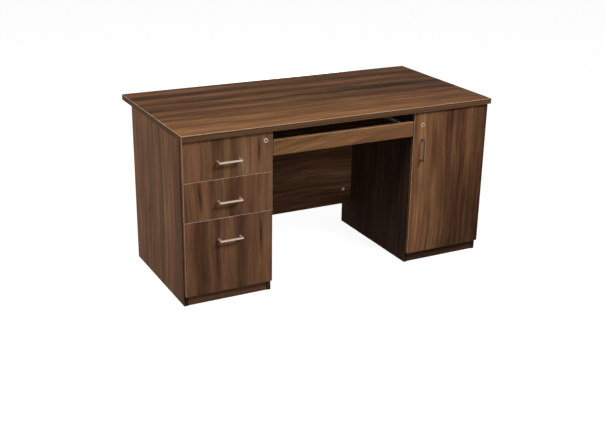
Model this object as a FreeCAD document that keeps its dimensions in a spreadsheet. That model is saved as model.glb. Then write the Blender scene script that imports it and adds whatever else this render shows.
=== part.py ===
import FreeCAD, Part
import Sketcher
import os
from types import SimpleNamespace

# Double-pedestal office desk in laminated board: three drawers on the left, a cupboard on the right,
# a pull-out keyboard tray and a modesty panel between them.
# Millimetres, +Z up, front towards -Y, origin on the floor under the middle of the desktop.

sizes = {
    # desktop
    "desktop_length": 1500,
    "desktop_depth": 750,
    "desk_height": 750,
    "desktop_thick": 25,
    "edge_band_thick": 2,
    "edge_band_flat": 0.2,
    # pedestals
    "board_thick": 18,
    "back_panel_thick": 18,
    "end_overhang": 5,
    "front_overhang": 15,
    "back_overhang": 120,
    "pedestal_width": 400,
    "plinth_height": 50,
    "plinth_setback": 3,
    # drawer fronts, tray front and door
    "front_thick": 18,
    "front_gap": 3,
    "front_reveal": 2,
    "side_reveal": 2,
    "front_round": 1.5,
    "top_front_height": 172,
    "middle_front_height": 168,
    # drawer boxes
    "box_board": 15,
    "box_depth": 450,
    "box_height": 90,
    "file_headroom": 58,
    "box_lift": 28,
    "drawer_bottom_thick": 6,
    "drawer_bottom_lift": 10,
    "groove_depth": 6,
    "groove_play": 0.2,
    # telescopic slides
    "slide_length": 450,
    "slide_height": 45,
    "slide_thick": 13,
    "slide_gauge": 1.2,
    "slide_lip": 4.5,
    "slide_bend": 0.9,
    "slide_clear": 0.5,
    "slide_setback": 2,
    "slide_lift": 12,
    "slide_hole_diameter": 4.6,
    "slide_access_diameter": 9,
    "slide_hole_inset": 35,
    # keyboard tray
    "tray_gap": 43,
    "tray_front_height": 66,
    "tray_reveal": 3,
    "tray_lift": 9,
    "tray_thick": 18,
    "tray_depth": 340,
    "tray_slide_length": 350,
    # modesty panel and its cam fittings
    "modesty_setback": 67,
    "modesty_thick": 18,
    "modesty_floor_gap": 130,
    "cam_diameter": 15,
    "cam_depth": 12.5,
    "cam_inset": 44,
    "cam_rise": 76,
    "cam_slot_length": 9,
    "cam_slot_width": 2,
    "cam_slot_depth": 2.5,
    "cam_bolt_diameter": 6,
    "cam_bolt_anchor": 11,
    "cam_bolt_gap": 0.3,
    # shelf
    "shelf_height": 380,
    "shelf_thick": 18,
    "shelf_setback": 20,
    "shelf_play": 1,
    "shelf_pin_diameter": 5,
    "shelf_pin_depth": 8,
    "shelf_pin_inset": 40,
    # dowels and desktop screws
    "dowel_diameter": 8,
    "dowel_length": 30,
    "dowel_side_depth": 12,
    "dowel_inset": 60,
    "bore_play": 0.1,
    "bore_end_play": 0.5,
    "screw_diameter": 4.5,
    "screw_bite": 14,
    "screw_head_diameter": 9,
    "screw_head_thick": 2.5,
    "screw_inset": 70,
    # bow handles
    "handle_spacing": 96,
    "handle_bar": 7,
    "handle_height": 6.5,
    "handle_reach": 32,
    "handle_corner": 2,
    "handle_rise": 74,
    "file_handle_drop": 92,
    "door_handle_drop": 175,
    "handle_screw_diameter": 4,
    "handle_screw_bite": 12,
    "handle_screw_head": 8,
    "handle_screw_head_thick": 2.2,
    # cam locks
    "lock_head_diameter": 20,
    "lock_head_thick": 2.5,
    "lock_head_round": 1.8,
    "lock_body_diameter": 17,
    "lock_length": 28,
    "lock_plug_diameter": 12,
    "lock_plug_inset": 0.4,
    "lock_nut_width": 22,
    "lock_nut_thick": 5,
    "keyway_width": 1.8,
    "keyway_height": 7,
    "keyway_depth": 9,
    "lock_cam_length": 35,
    "lock_cam_width": 12,
    "lock_cam_thick": 2.5,
    "lock_cam_round": 2.5,
    "lock_cam_play": 2,
    "lock_screw_diameter": 4,
    "lock_screw_head": 8,
    "lock_screw_bite": 8,
    "lock_end_gap": 0.3,
    "drawer_lock_drop": 37,
    "drawer_lock_inset": 31,
    "door_lock_drop": 60,
    "door_lock_inset": 44,
    # cup hinges
    "cup_diameter": 35,
    "cup_depth": 14,
    "cup_wall": 0.8,
    "cup_edge": 3,
    "wing_width": 20,
    "wing_length": 54,
    "wing_thick": 1.2,
    "hinge_inset": 100,
    "hinge_pin_edge": 7,
    "hinge_pin_depth": 10,
    "hinge_pin_diameter": 2.4,
    "running_play": 0.05,
    "knuckle_diameter": 4,
    "arm_width": 9,
    "arm_gauge": 1.8,
    "arm_length": 58,
    "arm_bend": 2,
    "arm_screw_hole": 5,
    "arm_screw_inset": 12,
    "arm_screw_pitch": 22,
    "ear_gap": 0.5,
    "ear_thick": 1.5,
    "ear_width": 4.4,
    "hinge_plate_thick": 6,
    "hinge_plate_setback": 9,
    "hinge_plate_length": 46,
    "hinge_plate_height": 18,
    "plate_wing_width": 14,
    "plate_wing_height": 48,
    "plate_wing_thick": 2.5,
    "plate_corner": 3,
    "plate_screw_hole": 5.2,
    "plate_screw_pitch": 32,
}

os.makedirs("parts", exist_ok=True)
doc = FreeCAD.newDocument("office_desk")
sheet = doc.addObject("Spreadsheet::Sheet", "Sizes")
for row, (alias, number) in enumerate(sizes.items(), 1):
    sheet.set(f"A{row}", alias)
    sheet.set(f"B{row}", str(number))
    sheet.setAlias(f"B{row}", alias)
doc.recompute()


class Size:
    """A length that carries both its value and the sheet expression that gives it."""

    def __init__(self, value, text):
        self.value = value
        self.text = text

    def __add__(self, other):
        other = as_size(other)
        return Size(self.value + other.value, f"({self.text} + {other.text})")

    def __sub__(self, other):
        other = as_size(other)
        return Size(self.value - other.value, f"({self.text} - {other.text})")

    def __mul__(self, factor):
        return Size(self.value * factor, f"({self.text} * {factor})")

    def __truediv__(self, divisor):
        return Size(self.value / divisor, f"({self.text} / {divisor})")

    def __neg__(self):
        return self * -1


def as_size(length):
    return length if isinstance(length, Size) else Size(length, str(length))


size = SimpleNamespace()
for alias in sizes:
    setattr(size, alias, Size(float(sheet.get(alias)), f"Sizes.{alias}"))

zero = as_size(0)
along = {
    "x": FreeCAD.Rotation(FreeCAD.Vector(0, 1, 0), 90),
    "y": FreeCAD.Rotation(FreeCAD.Vector(1, 0, 0), -90),
    "z": FreeCAD.Rotation(),
}
nodes = {}


# Document helpers

def bind(thing, prop, length):
    thing.setExpression(prop, as_size(length).text)


def place(thing, x, y, z):
    bind(thing, "Placement.Base.x", x)
    bind(thing, "Placement.Base.y", y)
    bind(thing, "Placement.Base.z", z)
    return thing


def node(label, thing):
    thing.Label = label
    nodes[label] = thing
    return thing


def board(name, x, y, z):
    """A box between the low and high faces given along each axis."""
    box = doc.addObject("Part::Box", name)
    for prop, (low, high) in zip(("Length", "Width", "Height"), (x, y, z)):
        bind(box, prop, high - low)
    return place(box, x[0], y[0], z[0])


def rod(name, axis, start, diameter, length):
    """A cylinder that runs from its start point along an axis."""
    cylinder = doc.addObject("Part::Cylinder", name)
    cylinder.Placement = FreeCAD.Placement(FreeCAD.Vector(), along[axis])
    bind(cylinder, "Radius", diameter / 2)
    bind(cylinder, "Height", length)
    return place(cylinder, *start)


def group(name, things):
    compound = doc.addObject("Part::Compound", name)
    compound.Links = things
    return compound


def cut(name, base, tools):
    result = doc.addObject("Part::Cut", name)
    result.Base = base
    result.Tool = tools[0] if len(tools) == 1 else group(f"{name}_tools", tools)
    return result


def fuse(name, things):
    result = doc.addObject("Part::MultiFuse", name)
    result.Shapes = things
    return result


# Body helpers

def new_body(name):
    return doc.addObject("PartDesign::Body", name)


def new_sketch(body, name, role):
    plane = next(feature for feature in body.Origin.OriginFeatures if feature.Role == role)
    sketch = body.newObject("Sketcher::SketchObject", f"{body.Name}_{name}")
    sketch.AttachmentSupport = [(plane, "")]
    sketch.MapMode = "FlatFace"
    return sketch


def hold_point(sketch, curve, point, across, up):
    """Fixes one point of a curve at its distances from the sketch's origin."""
    for kind, length in (("DistanceX", across), ("DistanceY", up)):
        rule = sketch.addConstraint(Sketcher.Constraint(kind, -1, 1, curve, point, length.value))
        bind(sketch, f"Constraints[{rule}]", length)


def draw_outline(sketch, corners):
    corners = [(as_size(across), as_size(up)) for across, up in corners]
    points = [FreeCAD.Vector(across.value, up.value, 0) for across, up in corners]
    first = sketch.GeometryCount
    count = len(points)
    for i in range(count):
        sketch.addGeometry(Part.LineSegment(points[i], points[(i + 1) % count]))
    for i in range(count):
        sketch.addConstraint(Sketcher.Constraint("Coincident", first + i, 2, first + (i + 1) % count, 1))
    for i, (across, up) in enumerate(corners):
        hold_point(sketch, first + i, 1, across, up)


def draw_circle(sketch, across, up, diameter):
    across, up = as_size(across), as_size(up)
    centre = FreeCAD.Vector(across.value, up.value, 0)
    curve = sketch.addGeometry(Part.Circle(centre, FreeCAD.Vector(0, 0, 1), diameter.value / 2))
    rule = sketch.addConstraint(Sketcher.Constraint("Diameter", curve, diameter.value))
    bind(sketch, f"Constraints[{rule}]", diameter)
    hold_point(sketch, curve, 3, across, up)


def rectangle(x, y):
    return [(x[0], y[0]), (x[1], y[0]), (x[1], y[1]), (x[0], y[1])]


def pad(body, sketch, length, reverse=False, both_ways=False):
    feature = body.newObject("PartDesign::Pad", f"{sketch.Name}_pad")
    feature.Profile = sketch
    bind(feature, "Length", length)
    feature.Reversed = reverse
    feature.Midplane = both_ways
    doc.recompute()
    return feature


def pocket(body, sketch, depth, reverse=False, both_ways=False):
    before = body.Shape.Volume
    feature = body.newObject("PartDesign::Pocket", f"{sketch.Name}_pocket")
    feature.Profile = sketch
    bind(feature, "Length", depth)
    feature.Reversed = reverse
    feature.Midplane = both_ways
    doc.recompute()
    if body.Shape.Volume >= before:
        raise RuntimeError(f"{feature.Name} removes nothing")
    return feature


def round_edges(body, radius, wanted):
    """Rounds the edges of a body's newest feature for which wanted(edge) holds."""
    base = body.Tip
    names = [f"Edge{i}" for i, edge in enumerate(base.Shape.Edges, 1) if wanted(edge)]
    feature = body.newObject("PartDesign::Fillet", f"{base.Name}_round")
    feature.Base = (base, names)
    bind(feature, "Radius", radius)
    doc.recompute()
    return feature


def through(axis, *points):
    """Picks straight edges along an axis that pass through one of the given points across it."""
    others = [i for i in range(3) if i != axis]

    def wanted(edge):
        ends = [vertex.Point for vertex in edge.Vertexes]
        if len(ends) < 2 or any(abs(ends[0][i] - ends[1][i]) > 0.01 for i in others):
            return False
        return any(all(abs(ends[0][i] - as_size(across).value) < 0.01 for i, across in zip(others, point))
                   for point in points)

    return wanted


def on_plane(axis, position):
    """Picks the edges that lie whole in a plane square to an axis."""
    def wanted(edge):
        box = edge.BoundBox
        low = (box.XMin, box.YMin, box.ZMin)[axis]
        high = (box.XMax, box.YMax, box.ZMax)[axis]
        return abs(low - position.value) < 0.01 and abs(high - position.value) < 0.01

    return wanted


# Places that several pieces share

top_under = size.desk_height - size.desktop_thick
desk_front = -size.desktop_depth / 2
desk_back = size.desktop_depth / 2
front_face = desk_front + size.front_overhang
front_rear = front_face + size.front_thick
carcass_front = front_rear + size.front_gap
carcass_back = desk_back - size.back_overhang
back_panel_front = carcass_back - size.back_panel_thick
outer_x = size.desktop_length / 2 - size.end_overhang
inner_x = outer_x - size.pedestal_width
bottom_top = size.plinth_height + size.board_thick
top_panel_under = top_under - size.board_thick
fronts_top = top_under - size.front_reveal
middle_front_top = fronts_top - size.top_front_height - size.front_reveal
file_front_top = middle_front_top - size.middle_front_height - size.front_reveal
slide_start = carcass_front + size.slide_setback


def pedestal_places(low, high):
    return SimpleNamespace(
        low=low,
        high=high,
        bay=(low + size.board_thick, high - size.board_thick),
        front=(low + size.side_reveal, high - size.side_reveal),
    )


left = pedestal_places(-outer_x, -inner_x)
right = pedestal_places(inner_x, outer_x)

drawer_lock_x = left.front[1] - size.drawer_lock_inset
drawer_lock_z = fronts_top - size.drawer_lock_drop
door_lock_x = right.front[0] + size.door_lock_inset
door_lock_z = fronts_top - size.door_lock_drop
lock_cam_y = (
    front_face + size.lock_length + size.lock_end_gap,
    front_face + size.lock_length + size.lock_end_gap + size.lock_cam_thick,
)

modesty_y = (carcass_back - size.modesty_setback - size.modesty_thick, carcass_back - size.modesty_setback)
cam_heights = (size.modesty_floor_gap + size.cam_rise, top_under - size.cam_rise)


# Dowels: one list for the pins, one for the bores that take them

dowels = []
dowel_bores = {"left": [], "right": []}


def add_dowel(side, bay, at_low_end, y, z):
    """A dowel across the joint between a pedestal's side board and a board that butts against it."""
    name = f"{side}_dowel_{len(dowels)}"
    if at_low_end:
        start = bay[0] - size.dowel_side_depth
    else:
        start = bay[1] + size.dowel_side_depth - size.dowel_length
    dowels.append(rod(name, "x", (start, y, z), size.dowel_diameter, size.dowel_length))
    bore_start = start - size.bore_end_play
    bore_length = size.dowel_length + size.bore_end_play * 2
    bore_diameter = size.dowel_diameter + size.bore_play * 2
    dowel_bores[side].append(rod(f"{name}_bore", "x", (bore_start, y, z), bore_diameter, bore_length))


def add_pedestal_dowels(side, bay):
    depth_places = (carcass_front + size.dowel_inset, back_panel_front - size.dowel_inset)
    plinth_mid = carcass_front + size.plinth_setback + size.board_thick / 2
    back_mid = back_panel_front + size.back_panel_thick / 2
    joints = [(y, size.plinth_height + size.board_thick / 2) for y in depth_places]
    joints += [(y, top_panel_under + size.board_thick / 2) for y in depth_places]
    joints += [(back_mid, size.plinth_height + size.dowel_inset), (back_mid, top_under - size.dowel_inset)]
    joints += [(plinth_mid, size.plinth_height / 2)]
    for y, z in joints:
        add_dowel(side, bay, True, y, z)
        add_dowel(side, bay, False, y, z)


add_pedestal_dowels("left", left.bay)
add_pedestal_dowels("right", right.bay)
node("carcass_dowels", group("carcass_dowels", dowels))


# Desktop screws: up through the pedestal tops into the desktop

screws = []
screw_bores = {"left": [], "right": []}


def add_desktop_screw(side, x, y):
    name = f"{side}_desktop_screw_{len(screws)}"
    shank_length = size.board_thick + size.screw_bite
    shank = rod(f"{name}_shank", "z", (x, y, top_panel_under), size.screw_diameter, shank_length)
    head_low = top_panel_under - size.screw_head_thick
    head = rod(f"{name}_head", "z", (x, y, head_low), size.screw_head_diameter, size.screw_head_thick)
    screws.append(fuse(name, [shank, head]))
    bore_diameter = size.screw_diameter + size.bore_play * 2
    bore_length = shank_length + size.bore_end_play * 2
    bore_low = top_panel_under - size.bore_end_play
    screw_bores[side].append(rod(f"{name}_bore", "z", (x, y, bore_low), bore_diameter, bore_length))


for side, places in (("left", left), ("right", right)):
    for x in (places.bay[0] + size.screw_inset, places.bay[1] - size.screw_inset):
        for y in (carcass_front + size.screw_inset, back_panel_front - size.screw_inset):
            add_desktop_screw(side, x, y)
node("desktop_screws", group("desktop_screws", screws))


# Cam fittings: cams sunk in the modesty panel's front face pull on bolts in the pedestals' inner sides

cam_pieces = []
cam_bores = []
cam_bolt_bores = {"left": [], "right": []}


def add_cam_fitting(side, z):
    name = f"{side}_cam_{len(cam_pieces)}"
    outward = -1 if side == "left" else 1
    panel_end = inner_x * outward
    cam_x = panel_end - size.cam_inset * outward
    disc = rod(f"{name}_disc", "y", (cam_x, modesty_y[0], z), size.cam_diameter, size.cam_depth)
    slot = board(f"{name}_slot", (cam_x - size.cam_slot_length / 2, cam_x + size.cam_slot_length / 2),
                 (modesty_y[0] - size.bore_end_play, modesty_y[0] + size.cam_slot_depth),
                 (z - size.cam_slot_width / 2, z + size.cam_slot_width / 2))
    cam_pieces.append(cut(name, disc, [slot]))
    cam_bores.append(rod(f"{name}_bore", "y", (cam_x, modesty_y[0] - size.bore_end_play, z),
                         size.cam_diameter + size.bore_play * 2, size.cam_depth + size.bore_end_play * 2))
    bolt_length = size.cam_inset - size.cam_diameter / 2 - size.cam_bolt_gap + size.cam_bolt_anchor
    bolt_end = panel_end + size.cam_bolt_anchor * outward
    bolt_low = bolt_end if side == "left" else bolt_end - bolt_length
    bolt_mid_y = modesty_y[0] + size.cam_depth / 2
    bolt_start = (bolt_low, bolt_mid_y, z)
    cam_pieces.append(rod(f"{name}_bolt", "x", bolt_start, size.cam_bolt_diameter, bolt_length))
    bore_diameter = size.cam_bolt_diameter + size.bore_play * 2
    bore_start = (bolt_low - size.bore_end_play, bolt_mid_y, z)
    bore_length = bolt_length + size.bore_end_play * 2
    cam_bolt_bores[side].append(rod(f"{name}_bolt_bore", "x", bore_start, bore_diameter, bore_length))


for side in ("left", "right"):
    for z in cam_heights:
        add_cam_fitting(side, z)
node("cam_fittings", group("cam_fittings", cam_pieces))


# Shelf and its pins

shelf_y = (carcass_front + size.shelf_setback, back_panel_front - size.shelf_play)
shelf_x = (right.bay[0] + size.shelf_play, right.bay[1] - size.shelf_play)
shelf_pins = []
shelf_pin_bores = []


def add_shelf_pin(wall_x, into_wall, y):
    name = f"shelf_pin_{len(shelf_pins)}"
    length = size.shelf_pin_depth * 2
    low = wall_x - size.shelf_pin_depth
    z = size.shelf_height - size.shelf_pin_diameter / 2
    shelf_pins.append(rod(name, "x", (low, y, z), size.shelf_pin_diameter, length))
    bore_low = low - size.bore_end_play if into_wall == "low" else wall_x
    bore_length = size.shelf_pin_depth + size.bore_end_play
    bore_diameter = size.shelf_pin_diameter + size.bore_play * 2
    shelf_pin_bores.append(rod(f"{name}_bore", "x", (bore_low, y, z), bore_diameter, bore_length))


for wall_x, into_wall in ((right.bay[0], "low"), (right.bay[1], "high")):
    for y in (shelf_y[0] + size.shelf_pin_inset, shelf_y[1] - size.shelf_pin_inset):
        add_shelf_pin(wall_x, into_wall, y)
node("shelf_pins", group("shelf_pins", shelf_pins))
node("shelf", board("shelf", shelf_x, shelf_y, (size.shelf_height, size.shelf_height + size.shelf_thick)))


# Desktop: a board with four edge strips, rounded on their outer edges

def desktop():
    core_x = size.desktop_length / 2 - size.edge_band_thick
    core_y = size.desktop_depth / 2 - size.edge_band_thick
    core = board("desktop_core", (-core_x, core_x), (-core_y, core_y), (top_under, size.desk_height))
    node("desktop", cut("desktop", core, screw_bores["left"] + screw_bores["right"]))


def edge_strip(name, x, y, outer_axis, outer_position, has_corners):
    """A strip rounded along its outer edges, and round its ends where they are the desktop's corners."""
    body = new_body(name)
    sketch = new_sketch(body, "outline", "XY_Plane")
    draw_outline(sketch, rectangle(x, y))
    pad(body, sketch, size.desktop_thick)
    run_axis = 1 - outer_axis

    def outer_edge(edge):
        ends = [vertex.Point for vertex in edge.Vertexes]
        outside = [abs(end[outer_axis] - outer_position.value) < 0.01 for end in ends]
        if has_corners:
            return any(outside)
        return all(outside) and abs(ends[0][run_axis] - ends[1][run_axis]) > 0.01

    round_edges(body, size.edge_band_thick - size.edge_band_flat, outer_edge)
    return place(body, zero, zero, top_under)


def edge_band():
    half_x = size.desktop_length / 2
    half_y = size.desktop_depth / 2
    core_x = half_x - size.edge_band_thick
    core_y = half_y - size.edge_band_thick
    strips = [
        edge_strip("front_strip", (-half_x, half_x), (-half_y, -core_y), 1, -half_y, True),
        edge_strip("back_strip", (-half_x, half_x), (core_y, half_y), 1, half_y, True),
        edge_strip("left_strip", (-half_x, -core_x), (-core_y, core_y), 0, -half_x, False),
        edge_strip("right_strip", (core_x, half_x), (-core_y, core_y), 0, half_x, False),
    ]
    node("desktop_edge_band", group("desktop_edge_band", strips))


desktop()
edge_band()


# Pedestals: two sides down to the floor, with a back, bottom, top and plinth between them

def lock_slot_in_top():
    """Mortise over the top drawer's lock, where its cam swings up."""
    reach = size.lock_cam_length + size.lock_cam_play
    shoulder = size.lock_cam_width / 2 + size.lock_cam_play
    x = (drawer_lock_x - reach, drawer_lock_x + shoulder)
    y = (lock_cam_y[0] - size.lock_cam_play / 2, lock_cam_y[1] + size.lock_cam_play / 2)
    z = (top_panel_under - size.bore_end_play, drawer_lock_z + reach)
    return board("drawer_lock_slot", x, y, z)


def lock_slot_in_side():
    """Mortise beside the door's lock, where its cam swings towards the knee space."""
    reach = size.lock_cam_length + size.lock_cam_play
    shoulder = size.lock_cam_width / 2 + size.lock_cam_play
    x = (door_lock_x - reach, right.bay[0] + size.bore_end_play)
    y = (lock_cam_y[0] - size.lock_cam_play / 2, lock_cam_y[1] + size.lock_cam_play / 2)
    z = (door_lock_z - reach, door_lock_z + shoulder)
    return board("door_lock_slot", x, y, z)


def pedestal(side, places, extra_cuts):
    depth = (carcass_front, carcass_back)
    inside_depth = (carcass_front, back_panel_front)
    low_wall = (places.low, places.bay[0])
    high_wall = (places.bay[1], places.high)
    outer_wall, inner_wall = (low_wall, high_wall) if side == "left" else (high_wall, low_wall)
    plinth_front = carcass_front + size.plinth_setback
    plinth_y = (plinth_front, plinth_front + size.board_thick)
    boards = {
        "outer_side": (outer_wall, depth, (zero, top_under)),
        "inner_side": (inner_wall, depth, (zero, top_under)),
        "back_panel": (places.bay, (back_panel_front, carcass_back), (zero, top_under)),
        "bottom_panel": (places.bay, inside_depth, (size.plinth_height, bottom_top)),
        "top_panel": (places.bay, inside_depth, (top_panel_under, top_under)),
        "plinth": (places.bay, plinth_y, (zero, size.plinth_height)),
    }
    bores = group(f"{side}_dowel_bores", dowel_bores[side])
    for name, (x, y, z) in boards.items():
        label = f"{side}_{name}"
        node(label, cut(label, board(f"{label}_board", x, y, z), [bores] + extra_cuts.get(name, [])))


pedestal("left", left, {
    "inner_side": cam_bolt_bores["left"],
    "top_panel": screw_bores["left"] + [lock_slot_in_top()],
})
pedestal("right", right, {
    "outer_side": shelf_pin_bores,
    "inner_side": cam_bolt_bores["right"] + shelf_pin_bores + [lock_slot_in_side()],
    "top_panel": screw_bores["right"],
})

modesty_board = board("modesty_board", (-inner_x, inner_x), modesty_y, (size.modesty_floor_gap, top_under))
modesty_bores = cam_bores + cam_bolt_bores["left"] + cam_bolt_bores["right"]
node("modesty_panel", cut("modesty_panel", modesty_board, modesty_bores))


# Telescopic slides: three nested roll-formed channels, the middle one travelling half as far as the drawer

def channel(name, away, web, mouth, half_height, lip, hole, length):
    """A channel whose web stands at one distance from the wall and whose flanges reach to another."""
    opens = 1 if mouth.value > web.value else -1
    gauge = size.slide_gauge
    inside_web = web + gauge * opens
    inside_lip = mouth - gauge * opens
    flange_inside = gauge - half_height
    profile = [(web, -half_height), (mouth, -half_height)]
    if lip:
        lip_edge = lip - half_height
        profile += [(mouth, lip_edge), (inside_lip, lip_edge), (inside_lip, flange_inside)]
    else:
        profile += [(mouth, flange_inside)]
    profile += [(inside_web, flange_inside)]
    mirrored = [(across, -up) for across, up in reversed(profile)]
    corners = [(across * away, up) for across, up in profile + mirrored]
    body = new_body(name)
    sketch = new_sketch(body, "profile", "XZ_Plane")
    draw_outline(sketch, corners)
    pad(body, sketch, length, reverse=True)
    bends = [(across * away, up) for across in (web, mouth) for up in (half_height, -half_height)]
    if not lip:
        bends = bends[:2]
    round_edges(body, size.slide_bend, through(1, *bends))
    punched = new_sketch(body, "holes", "YZ_Plane")
    for along_slide in (size.slide_hole_inset, length / 2, length - size.slide_hole_inset):
        draw_circle(punched, along_slide, zero, hole)
    pocket(body, punched, (size.slide_thick + size.bore_end_play) * 2, both_ways=True)
    return body


def slide_pair(prefix, walls, middle_z, length):
    half = size.slide_height / 2
    half_middle = half - size.slide_lip - size.slide_clear
    half_inner = half_middle - size.slide_lip - size.slide_clear
    mouth = size.slide_thick - size.slide_gauge - size.slide_clear * 2
    web_middle = size.slide_gauge + size.slide_clear
    mouth_inner = web_middle + size.slide_gauge + size.slide_clear
    members = {
        "outer": (zero, mouth, half, size.slide_lip, size.slide_hole_diameter),
        "middle": (web_middle, mouth, half_middle, size.slide_lip, size.slide_access_diameter),
        "inner": (size.slide_thick, mouth_inner, half_inner, None, size.slide_hole_diameter),
    }
    for member, (web, open_edge, half_height, lip, hole) in members.items():
        label = f"{prefix}_slide_{member}"
        pair = []
        for hand, wall, away in (("left", walls[0], 1), ("right", walls[1], -1)):
            member_body = channel(f"{label}_{hand}", away, web, open_edge, half_height, lip, hole, length)
            pair.append(place(member_body, wall, slide_start, middle_z))
        node(label, group(label, pair))


# Bow handle: a flat-sided bar with two legs, held by two screws from behind the front

def handle(prefix, x, z, rotation):
    half = size.handle_spacing / 2
    outer = half + size.handle_bar / 2
    inner = half - size.handle_bar / 2
    bar_rear = size.handle_bar - size.handle_reach
    outline = [
        (-outer, zero), (-outer, -size.handle_reach), (outer, -size.handle_reach), (outer, zero),
        (inner, zero), (inner, bar_rear), (-inner, bar_rear), (-inner, zero),
    ]
    body = new_body(f"{prefix}_bow")
    sketch = new_sketch(body, "outline", "XY_Plane")
    draw_outline(sketch, outline)
    pad(body, sketch, size.handle_height, both_ways=True)
    tapped = new_sketch(body, "tapped_holes", "XZ_Plane")
    for across in (-half, half):
        draw_circle(tapped, across, zero, size.handle_screw_diameter + size.bore_play * 2)
    pocket(body, tapped, size.handle_screw_bite + size.bore_end_play, reverse=True)
    bends = [(across, -size.handle_reach) for across in (-outer, outer)]
    round_edges(body, size.handle_corner, through(2, *bends))
    body.Placement = FreeCAD.Placement(FreeCAD.Vector(), rotation)
    place(body, x, front_face, z)
    pieces = [body]
    for i, (hole_x, hole_z) in enumerate(handle_holes(x, z, rotation)):
        pieces.append(handle_screw(f"{prefix}_screw_{i}", hole_x, hole_z))
    node(f"{prefix}_handle", group(f"{prefix}_handle", pieces))


def handle_holes(x, z, rotation):
    half = size.handle_spacing / 2
    if rotation.isIdentity():
        return [(x - half, z), (x + half, z)]
    return [(x, z - half), (x, z + half)]


def handle_screw(name, x, z):
    shank_start = front_face - size.handle_screw_bite
    shank_length = size.handle_screw_bite + size.front_thick
    shank = rod(f"{name}_shank", "y", (x, shank_start, z), size.handle_screw_diameter, shank_length)
    head_start = (x, front_rear, z)
    head = rod(f"{name}_head", "y", head_start, size.handle_screw_head, size.handle_screw_head_thick)
    return fuse(name, [shank, head])


# Overlay fronts: a board rounded round its face, with its screw and lock holes

def overlay_front(name, x, z, holes=(), recesses=()):
    """A front whose rear face lies in the shared plane behind all the fronts."""
    body = new_body(name)
    outline = new_sketch(body, "outline", "XZ_Plane")
    draw_outline(outline, rectangle(x, z))
    pad(body, outline, size.front_thick)
    round_edges(body, size.front_round, on_plane(1, -size.front_thick))
    for i, (across, up, diameter, depth) in enumerate(holes):
        sketch = new_sketch(body, f"hole_{i}", "XZ_Plane")
        draw_circle(sketch, across, up, diameter)
        pocket(body, sketch, depth, reverse=True)
    for i, (across, up, depth) in enumerate(recesses):
        sketch = new_sketch(body, f"groove_{i}", "XZ_Plane")
        draw_outline(sketch, rectangle(across, up))
        pocket(body, sketch, depth, reverse=True)
    return place(body, zero, front_rear, zero)


def screw_holes(places):
    diameter = size.handle_screw_diameter + size.bore_play * 2
    depth = size.front_thick + size.bore_end_play
    return [(x, z, diameter, depth) for x, z in places]


def lock_hole(x, z):
    return (x, z, size.lock_body_diameter + size.bore_play * 2, size.front_thick + size.bore_end_play)


# Drawers: overlay front, two grooved sides, a back and a bottom that sits in the grooves

upright = FreeCAD.Rotation(FreeCAD.Vector(0, 1, 0), 90)
level = FreeCAD.Rotation()


def drawer(prefix, front_z, box_height, handle_z, locks):
    bay = left.bay
    box_x = (bay[0] + size.slide_thick, bay[1] - size.slide_thick)
    inside_x = (box_x[0] + size.box_board, box_x[1] - size.box_board)
    box_y = (front_rear, front_rear + size.box_depth)
    box_z = (front_z[0] + size.box_lift, front_z[0] + size.box_lift + box_height)
    bottom_low = box_z[0] + size.drawer_bottom_lift
    bottom_z = (bottom_low, bottom_low + size.drawer_bottom_thick)
    groove_x = (inside_x[0] - size.groove_depth, inside_x[1] + size.groove_depth)
    groove_z = (bottom_z[0] - size.groove_play, bottom_z[1] + size.groove_play)

    handle_x = (left.front[0] + left.front[1]) / 2
    holes = screw_holes(handle_holes(handle_x, handle_z, level)) + [lock_hole(*at) for at in locks]
    groove = (groove_x, groove_z, size.groove_depth)
    node(f"{prefix}_front", overlay_front(f"{prefix}_front", left.front, front_z, holes, [groove]))
    handle(prefix, handle_x, handle_z, level)

    groove_tool = board(f"{prefix}_groove", groove_x, box_y, groove_z)
    for side, x in (("left", (box_x[0], inside_x[0])), ("right", (inside_x[1], box_x[1]))):
        label = f"{prefix}_{side}_side"
        node(label, cut(label, board(f"{label}_board", x, box_y, box_z), [groove_tool]))
    back_y = (box_y[1] - size.box_board, box_y[1])
    node(f"{prefix}_back", board(f"{prefix}_back", inside_x, back_y, (bottom_z[1], box_z[1])))
    bottom_x = (groove_x[0] + size.groove_play, groove_x[1] - size.groove_play)
    bottom_y = (box_y[0] - size.groove_depth + size.groove_play, box_y[1])
    node(f"{prefix}_bottom", board(f"{prefix}_bottom", bottom_x, bottom_y, bottom_z))

    slide_z = box_z[0] + size.slide_lift + size.slide_height / 2
    slide_pair(prefix, bay, slide_z, size.slide_length)


top_front_z = (fronts_top - size.top_front_height, fronts_top)
middle_front_z = (middle_front_top - size.middle_front_height, middle_front_top)
file_front_z = (size.plinth_height, file_front_top)
top_handle_z = top_front_z[0] + size.handle_rise
middle_handle_z = middle_front_z[0] + size.handle_rise
file_handle_z = file_front_z[1] - size.file_handle_drop
drawer("top_drawer", top_front_z, size.box_height, top_handle_z, [(drawer_lock_x, drawer_lock_z)])
drawer("middle_drawer", middle_front_z, size.box_height, middle_handle_z, [])
file_box_height = file_front_z[1] - file_front_z[0] - size.box_lift - size.file_headroom
drawer("file_drawer", file_front_z, file_box_height, file_handle_z, [])


# Keyboard tray: a board behind a low front, on slides under the desktop

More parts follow.
